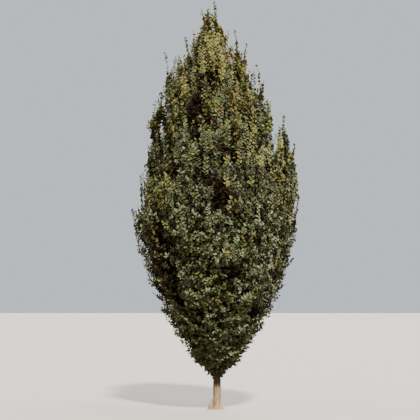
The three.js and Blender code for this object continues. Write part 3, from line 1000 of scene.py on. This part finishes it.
def spray_leaves(sprays, leaf_rows):
    """All leaves of all sprays: the rule's places, each leaf swung, rolled and pitched a little by chance.

    Its face then turns part of the way to the light, which comes from outside the crown and above.
    """
    along, sideways, turn, size, _ = leaf_rows.T
    seed = sprays.number[:, None] * LEAF_NUMBERS + np.arange(len(leaf_rows))
    roots = on_spray(sprays, along, sideways)
    direction = sprays.direction[:, None]
    across = np.cross(sprays.face, sprays.direction)[:, None]
    swing = turn + LEAF_SWING * (chance(seed, 21) - 0.5)
    way = turned(direction, across, swing)
    side = turned(across, -direction, swing)
    normal = np.broadcast_to(sprays.face[:, None], way.shape)
    roll = LEAF_ROLL * (chance(seed, 22) - 0.5)
    pitch = LEAF_PITCH * (chance(seed, 23) - PITCH_MIDDLE)
    normal = turned(normal, side, roll)
    way, normal = turned(way, normal, pitch), turned(normal, -way, pitch)
    outward = unit((sprays.root - leader_at(sprays.root[:, 2])) * LEVEL)
    light = unit(outward + UP * LIGHT_RISE)[:, None]
    lit_side = np.where(np.sum(normal * light, -1, keepdims=True) < 0, -1, 1)
    normal = unit(normal * lit_side + TO_LIGHT * light)
    way = square_to(way, normal)
    rise = np.clip(sprays.root[:, 2] / TREE_HEIGHT, 0, 1)[:, None]
    lengths = LEAF_LENGTH * size * lerp(*LEAF_VARIES, chance(seed, 24)) * lerp(*LEAF_SCALE, rise)
    lengths = lengths * lerp(1, SHADE_LEAF, sprays.shade)[:, None]
    return roots.reshape(-1, 3), way.reshape(-1, 3), normal.reshape(-1, 3), lengths.ravel()


def twig_mesh(paths, radii):
    """Three-sided twigs along paths, thinner from foot to tip."""
    thinning = lerp(*radii, np.linspace(0, 1, paths.shape[1]))
    return tubes(paths, np.broadcast_to(thinning, paths.shape[:2]), TWIG_SIDES)


def spray_axes(sprays):
    """The axis of each spray as a twig that bends a little to its face."""
    return twig_mesh(on_spray(sprays, TWIG_RINGS, np.zeros_like(TWIG_RINGS)), TWIG_RADII)


def side_shoots(sprays, shoot_rows):
    """The side shoots of each spray, straight twigs in its plane."""
    along, turn, reach = shoot_rows.T
    foot = on_spray(sprays, along, np.zeros_like(along))
    across = np.cross(sprays.face, sprays.direction)
    way = turned(sprays.direction[:, None], across[:, None], np.broadcast_to(turn, foot.shape[:2]))
    end = foot + way * (reach * sprays.length[:, None])[..., None]
    return twig_mesh(np.stack([foot.reshape(-1, 3), end.reshape(-1, 3)], 1), SHOOT_RADII)


def stalks(branch, controls, sprays):
    """From each spray's root back to its branch: a short curve that leaves the branch forwards."""
    share = lerp(*STALK_PLACES, chance(np.arange(len(branch)), 31))
    foot = on_curve(controls[branch], share)
    gap = np.linalg.norm(sprays.root - foot, axis=-1, keepdims=True)
    elbow = lerp(foot, sprays.root, STALK_ELBOW) - sprays.direction * STALK_SAG * gap
    curve = np.stack([foot, elbow, sprays.root], 1)
    paths = on_curve(curve[:, None], np.broadcast_to(TWIG_RINGS, (len(branch), len(TWIG_RINGS))))
    return twig_mesh(paths, STALK_RADII)


# Materials

# Barks: dark, middle and pale colours, how far the grain is drawn out, strength of the relief
TRUNK_BARK = ((0.10, 0.067, 0.035), (0.31, 0.235, 0.14), (0.52, 0.42, 0.28), 0.16, 0.7)
BOUGH_BARK = ((0.022, 0.017, 0.012), (0.055, 0.044, 0.033), (0.11, 0.09, 0.07), 0.3, 0.5)
TWIG_BARK = ((0.022, 0.010, 0.007), (0.048, 0.025, 0.016), (0.09, 0.055, 0.036), 1.0, 0.3)
BARK_STOPS = (0.30, 0.50, 0.68)
BARK_GRAIN = 46
GRAIN_DETAIL = 6
GRAIN_ROUGHNESS = 0.62
BARK_ROUGHNESS = 0.88
BARK_RELIEF = 0.006
# Painted shade: trunk bark above these heights is darkened where the crown's shade falls on it
PAINTED_SHADE_BARK = (0.19, 0.18, 0.19)
PAINTED_SHADE_HEIGHTS = (0.33, 0.42)
LEAF_MAP = "OFBake"
LEAF_ROUGHNESS = 0.62
VEIN_SLANT = -0.9
VEIN_STEP = 0.05
VEIN_EDGE = 0.012
RIB_EDGE = 0.03
VEIN_PALER = 1.5
VEIN_LIFT = 0.02
BETWEEN_VEINS = 0.72
WHITE = (1, 1, 1)
BLACK = (0, 0, 0)

# Tints, each a plain colour: name, colour, gloss, slot, and shares low, midway and high in the crown
TINTS = (
    ("deep_green", (0.042, 0.053, 0.021), 0.45, "leaf_green", (0.08, 0.36, 0.10)),
    ("mid_green", (0.069, 0.097, 0.032), 0.45, "leaf_green", (0.32, 0.40, 0.28)),
    # grey_green is partly leaf colour and partly painted light: a paler, bluish leaf for sheen off the sky,
    # dealt most low down to lighten the dimly lit bottom of the crown
    ("grey_green", (0.150, 0.189, 0.114), 0.45, "leaf_green", (0.60, 0.06, 0.02)),
    ("olive", (0.158, 0.167, 0.049), 0.25, "leaf_olive", (0.04, 0.17, 0.40)),
    ("yellow_olive", (0.245, 0.238, 0.071), 0.25, "leaf_olive", (0.00, 0.02, 0.14)),
    ("gold_brown", (0.170, 0.118, 0.042), 0.25, "leaf_olive", (0.00, 0.01, 0.06)),
    # shade_brown is painted shade: near-black leaves dealt inside the crown and in its hollows
    ("shade_brown", (0.015, 0.008, 0.005), 0.08, "leaf_green", (0.00, 0.00, 0.00)),
)
SHADE_TINT = len(TINTS) - 1
TINT_HEIGHTS = (0.15, 0.42, 0.82)
TINT_HEIGHT_VARIES = 0.15
KEEPS_LIMB_TINT = 0.35
KEEPS_SPRAY_TINT = 0.4


def new_material(name):
    """A material with its node tree and its shader."""
    material = bpy.data.materials.new(name)
    material.use_nodes = True
    tree = material.node_tree
    return material, tree, tree.nodes["Principled BSDF"]


def add_node(tree, kind, **constants):
    """A node of a kind, with constants on its named sockets."""
    node = tree.nodes.new(kind)
    for socket, value in constants.items():
        node.inputs[socket].default_value = value
    return node


def add_sum(tree, operation, source, amount=None):
    """A sum on a socket's value, with a fixed amount where the operation takes one."""
    node = tree.nodes.new("ShaderNodeMath")
    node.operation = operation
    tree.links.new(source, node.inputs[0])
    if amount is not None:
        node.inputs[1].default_value = amount
    return node


def add_ramp(tree, source, stops):
    """A colour ramp driven by a socket: stops are (place, colour)."""
    ramp = tree.nodes.new("ShaderNodeValToRGB")
    elements = ramp.color_ramp.elements
    while len(elements) < len(stops):
        elements.new(0.5)
    for element, (place, colour) in zip(elements, stops):
        element.position = place
        element.color = (*colour, 1)
    tree.links.new(source, ramp.inputs["Fac"])
    return ramp.outputs["Color"]


def add_mix(tree, blend, first):
    """A mix of two colours, with the first one linked."""
    mix = tree.nodes.new("ShaderNodeMix")
    mix.data_type = "RGBA"
    mix.blend_type = blend
    tree.links.new(first, mix.inputs["A"])
    return mix


def bark_material(name, dark, middle, pale, stretch, relief, shade_heights=None):
    """Bark: long streaks of grey and tan up the limb, pale flecks, and bump from the same streaks.

    Where two heights are given, bark above them is painted darker than at the foot: painted shade of the
    crown.
    """
    material, tree, shader = new_material(name)
    place = tree.nodes.new("ShaderNodeTexCoord")
    mapping = add_node(tree, "ShaderNodeMapping", Scale=(1, 1, stretch))
    tree.links.new(place.outputs["Object"], mapping.inputs["Vector"])
    streak = add_node(
        tree, "ShaderNodeTexNoise", Scale=BARK_GRAIN, Detail=GRAIN_DETAIL, Roughness=GRAIN_ROUGHNESS
    )
    tree.links.new(mapping.outputs["Vector"], streak.inputs["Vector"])
    colour = add_ramp(tree, streak.outputs["Fac"], list(zip(BARK_STOPS, (dark, middle, pale))))
    # Painted shade: above the given heights the bark is darkened as the crown's shade would darken it
    if shade_heights:
        height = tree.nodes.new("ShaderNodeSeparateXYZ")
        tree.links.new(place.outputs["Object"], height.inputs["Vector"])
        painted_shade = add_mix(tree, "MULTIPLY", colour)
        painted_shade.inputs["Factor"].default_value = 1
        darkening = add_ramp(tree, height.outputs["Z"], list(zip(shade_heights, (WHITE, PAINTED_SHADE_BARK))))
        tree.links.new(darkening, painted_shade.inputs["B"])
        colour = painted_shade.outputs["Result"]
    tree.links.new(colour, shader.inputs["Base Color"])
    shader.inputs["Roughness"].default_value = BARK_ROUGHNESS
    bump = add_node(tree, "ShaderNodeBump", Strength=relief, Distance=BARK_RELIEF)
    tree.links.new(streak.outputs["Fac"], bump.inputs["Height"])
    tree.links.new(bump.outputs["Normal"], shader.inputs["Normal"])
    return material


def leaf_material(name, colour, gloss):
    """A leaf: its tint, a paler rib down the middle and side veins that run forward to the edge.

    Veins repeat along the leaf, at its place along less a slant by the distance from the rib.
    """
    material, tree, shader = new_material(name)
    uv = tree.nodes.new("ShaderNodeUVMap")
    uv.uv_map = LEAF_MAP
    split = tree.nodes.new("ShaderNodeSeparateXYZ")
    tree.links.new(uv.outputs["UV"], split.inputs["Vector"])
    centred = add_sum(tree, "SUBTRACT", split.outputs["Y"], 0.5)
    aside = add_sum(tree, "ABSOLUTE", centred.outputs[0])
    slant = add_sum(tree, "MULTIPLY_ADD", aside.outputs[0], VEIN_SLANT)
    tree.links.new(split.outputs["X"], slant.inputs[2])
    wave = add_sum(tree, "PINGPONG", slant.outputs[0], VEIN_STEP)
    pale = tuple(min(1.0, VEIN_PALER * channel + VEIN_LIFT) for channel in colour)
    deep = tuple(BETWEEN_VEINS * channel for channel in colour)
    veins = add_ramp(tree, wave.outputs[0], [(0.0, pale), (VEIN_EDGE, colour), (VEIN_STEP, deep)])
    rib = add_ramp(tree, aside.outputs[0], [(0.0, WHITE), (RIB_EDGE, BLACK)])
    mix = add_mix(tree, "MIX", veins)
    tree.links.new(rib, mix.inputs["Factor"])
    mix.inputs["B"].default_value = (*pale, 1)
    tree.links.new(mix.outputs["Result"], shader.inputs["Base Color"])
    shader.inputs["Roughness"].default_value = LEAF_ROUGHNESS
    shader.inputs["Specular IOR Level"].default_value = gloss
    return material


def deal_tints(sprays, leaf_rows):
    """A tint for each leaf, the same along its shoot: chance against shares between low, midway and high.

    A shoot keeps its limb's draw, its spray's or makes its own.
    Where sprays are in the shade, a share of their shoots takes painted shade: a near-black brown.
    """
    *_, shoot = leaf_rows.T
    rise = (sprays.root[:, 2] - CROWN_FOOT) / (TREE_HEIGHT - CROWN_FOOT)
    rise = np.clip(rise + TINT_HEIGHT_VARIES * (chance(sprays.limb, 41) - 0.5), 0, 1)
    at_height = [np.interp(rise, TINT_HEIGHTS, shares) for *_, shares in TINTS]
    shares = np.cumsum(np.stack(at_height, -1), 1)[:, None, :]
    own = sprays.number[:, None] * SHOOT_NUMBERS + shoot
    pick = chance(own, 44)
    keeps_spray = pick < KEEPS_LIMB_TINT + KEEPS_SPRAY_TINT
    draw = np.where(keeps_spray, chance(sprays.number, 42)[:, None], chance(own, 45))
    draw = np.where(pick < KEEPS_LIMB_TINT, chance(sprays.limb, 52)[:, None], draw)
    tint = (draw[..., None] * shares[..., -1:] > shares).sum(-1)
    in_shade = chance(own, 43) < sprays.shade[:, None]
    return np.where(in_shade, SHADE_TINT, tint).ravel()


# The pieces

TRUNK_NODE = ["trunk"]
BOUGH_NODES = sorted(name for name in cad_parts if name.startswith("bough_"))
MASS_NODES = sorted(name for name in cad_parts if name.startswith("leaves_"))


def build_limbs(boughs, stems):
    """Trunk, boughs and forked stems."""
    trunk_bark = bark_material("trunk_bark", *TRUNK_BARK, PAINTED_SHADE_HEIGHTS)
    bough_bark = bark_material("bough_bark", *BOUGH_BARK)
    add_piece("trunk_bark", trunk_mesh(), trunk_bark, TRUNK_NODE)
    bough_radius = lerp(BOUGH_RADIUS, BOUGH_RADIUS_AT_TOP, ranks(BOUGH_COUNT))
    parts = [
        limb_mesh(boughs, bough_radius, *BOUGH_SKIN),
        limb_mesh(stems, np.full(len(stems), STEM_RADIUS), *STEM_SKIN),
    ]
    add_piece("boughs", joined(parts), bough_bark, BOUGH_NODES)


def build_crown(boughs, stems):
    """Branches, twigs and leaves on every limb."""
    limbs = np.concatenate([boughs, stems])
    skin, share, whip = spray_places(limbs)
    branch, controls = branch_sprays(limbs, skin, share)
    sprays = together(picked(skin, ~whip), plume_places(limbs))
    whips = together(picked(skin, whip), whip_places(limbs))
    leaf_rows, shoot_rows = spray_rule()
    twig_bark = bark_material("twig_bark", *TWIG_BARK)
    branches = limb_mesh(controls, np.full(len(controls), BRANCH_RADIUS), *BRANCH_SKIN)
    wood = {
        "branches": joined([branches, stalks(branch, controls, skin)]),
        "twigs": joined([spray_axes(sprays), spray_axes(whips)]),
        "side_shoots": side_shoots(sprays, shoot_rows),
    }
    for name, mesh_arrays in wood.items():
        add_piece(name, mesh_arrays, twig_bark, MASS_NODES)
    build_leaves(((sprays, leaf_rows), (whips, np.array(two_ranks(*WHIP_LEAVES)))))


def build_leaves(groups):
    """All leaves of the groups of sprays, gathered by tint into one piece each.

    A leaf's map runs from 0 to 1 along it and from 0 to 1 across it.
    """
    columns = zip(*(spray_leaves(sprays, rows) for sprays, rows in groups))
    leaves = [np.concatenate(column) for column in columns]
    tints = np.concatenate([deal_tints(sprays, rows) for sprays, rows in groups])
    leaf_uv = LEAF_POINTS * [1, 0.5] + [0, 0.5]
    for place, (name, colour, gloss, slot, _) in enumerate(TINTS):
        mine = tints == place
        mesh_arrays = leaf_mesh(*(column[mine] for column in leaves))
        uv = np.tile(leaf_uv, (mine.sum(), 1))
        material = leaf_material(f"leaf_{name}", colour, gloss)
        add_piece(f"leaves_{name}", mesh_arrays, material, MASS_NODES, smooth_faces=False, uv=uv)


# Stage, light and camera

FLOOR_HALF = 400.0
FLOOR_COLOUR = (0.42, 0.415, 0.40, 1)
FLOOR_ROUGHNESS = 0.9
FLOOR_THROWS = (0.17, 0.12, 0.08, 1)
FILL_COLOUR = (1.0, 0.52, 0.42, 1)
FILL_STRENGTH = 0.34
SURROUND_COLOUR = (0.80, 0.85, 0.92, 1)
SURROUND_STRENGTH = 0.85
# Soft lights: name, energy, width in degrees, colour, direction
SUNS = (
    ("key", 7.4, 6, (1.0, 0.95, 0.82), (-0.22, 0.79, -1.00)),
    ("low", 0.5, 30, (1.0, 0.96, 0.88), (-0.14, 0.96, -0.32)),
    ("right", 3.0, 60, (1.0, 0.97, 0.85), (-1.0, -0.10, -1.00)),
    ("left", 1.8, 60, (1.0, 0.97, 0.85), (1.0, -0.10, -1.00)),
    ("back", 3.4, 50, (0.92, 0.95, 1.0), (-0.15, -0.80, -0.60)),
)
EYE_HEIGHT = 1.65
EYE_DISTANCE = 14.9
EYE_ASIDE = -0.119
PITCH = math.radians(6.5)
LENS = 50
SENSOR = 24
VIEW_END = 900


def seen_or_thrown(tree, seen, thrown, output):
    """One shader for what the camera sees of a thing, and another for the light that it throws."""
    path = tree.nodes.new("ShaderNodeLightPath")
    choose = tree.nodes.new("ShaderNodeMixShader")
    tree.links.new(path.outputs["Is Camera Ray"], choose.inputs["Fac"])
    tree.links.new(thrown, choose.inputs[1])
    tree.links.new(seen, choose.inputs[2])
    tree.links.new(choose.outputs["Shader"], tree.nodes[output].inputs["Surface"])


def build_stage():
    """A pale level floor, wide enough to reach past the view, that throws little light up."""
    corners = [(x, y, 0) for x, y in ((-1, -1), (1, -1), (1, 1), (-1, 1))]
    mesh = bpy.data.meshes.new("floor")
    mesh.from_pydata((np.array(corners) * FLOOR_HALF).tolist(), [], [[0, 1, 2, 3]])
    floor = bpy.data.objects.new("floor", mesh)
    bpy.context.scene.collection.objects.link(floor)
    material, tree, seen = new_material("pale_floor")
    seen.inputs["Base Color"].default_value = FLOOR_COLOUR
    seen.inputs["Roughness"].default_value = FLOOR_ROUGHNESS
    thrown = add_node(tree, "ShaderNodeBsdfDiffuse", Color=FLOOR_THROWS)
    seen_or_thrown(tree, seen.outputs["BSDF"], thrown.outputs["BSDF"], "Material Output")
    mesh.materials.append(material)


def build_light():
    """A high key from the viewer's side and a low one under it, softer lights right, left and behind.

    A plain surround fills in all round.
    """
    world = bpy.data.worlds.new("surround")
    world.use_nodes = True
    tree = world.node_tree
    fill = tree.nodes["Background"]
    fill.inputs["Color"].default_value = FILL_COLOUR
    fill.inputs["Strength"].default_value = FILL_STRENGTH
    seen = add_node(tree, "ShaderNodeBackground", Color=SURROUND_COLOUR, Strength=SURROUND_STRENGTH)
    seen_or_thrown(tree, seen.outputs["Background"], fill.outputs["Background"], "World Output")
    bpy.context.scene.world = world
    for sun in SUNS:
        add_sun(*sun)


def add_sun(name, energy, width, colour, direction):
    """A distant light that shines along a direction, as wide as some degrees of the surround."""
    sun = bpy.data.lights.new(name, "SUN")
    sun.energy = energy
    sun.angle = math.radians(width)
    sun.color = colour
    sun_object = bpy.data.objects.new(name, sun)
    sun_object.rotation_euler = Vector(direction).to_track_quat("-Z", "Y").to_euler()
    bpy.context.scene.collection.objects.link(sun_object)


def build_camera():
    """The photograph's view: eye height, standing well back, looking a little up."""
    lens = bpy.data.cameras.new("camera")
    lens.lens = LENS
    lens.sensor_width = SENSOR
    lens.clip_end = VIEW_END
    camera = bpy.data.objects.new("camera", lens)
    camera.location = (EYE_ASIDE, -EYE_DISTANCE, EYE_HEIGHT)
    camera.rotation_euler = (math.pi / 2 + PITCH, 0, 0)
    bpy.context.scene.collection.objects.link(camera)
    bpy.context.scene.camera = camera


build_camera()
build_light()
build_stage()
crown_curves = crown_frame()
build_limbs(*crown_curves)
build_crown(*crown_curves)
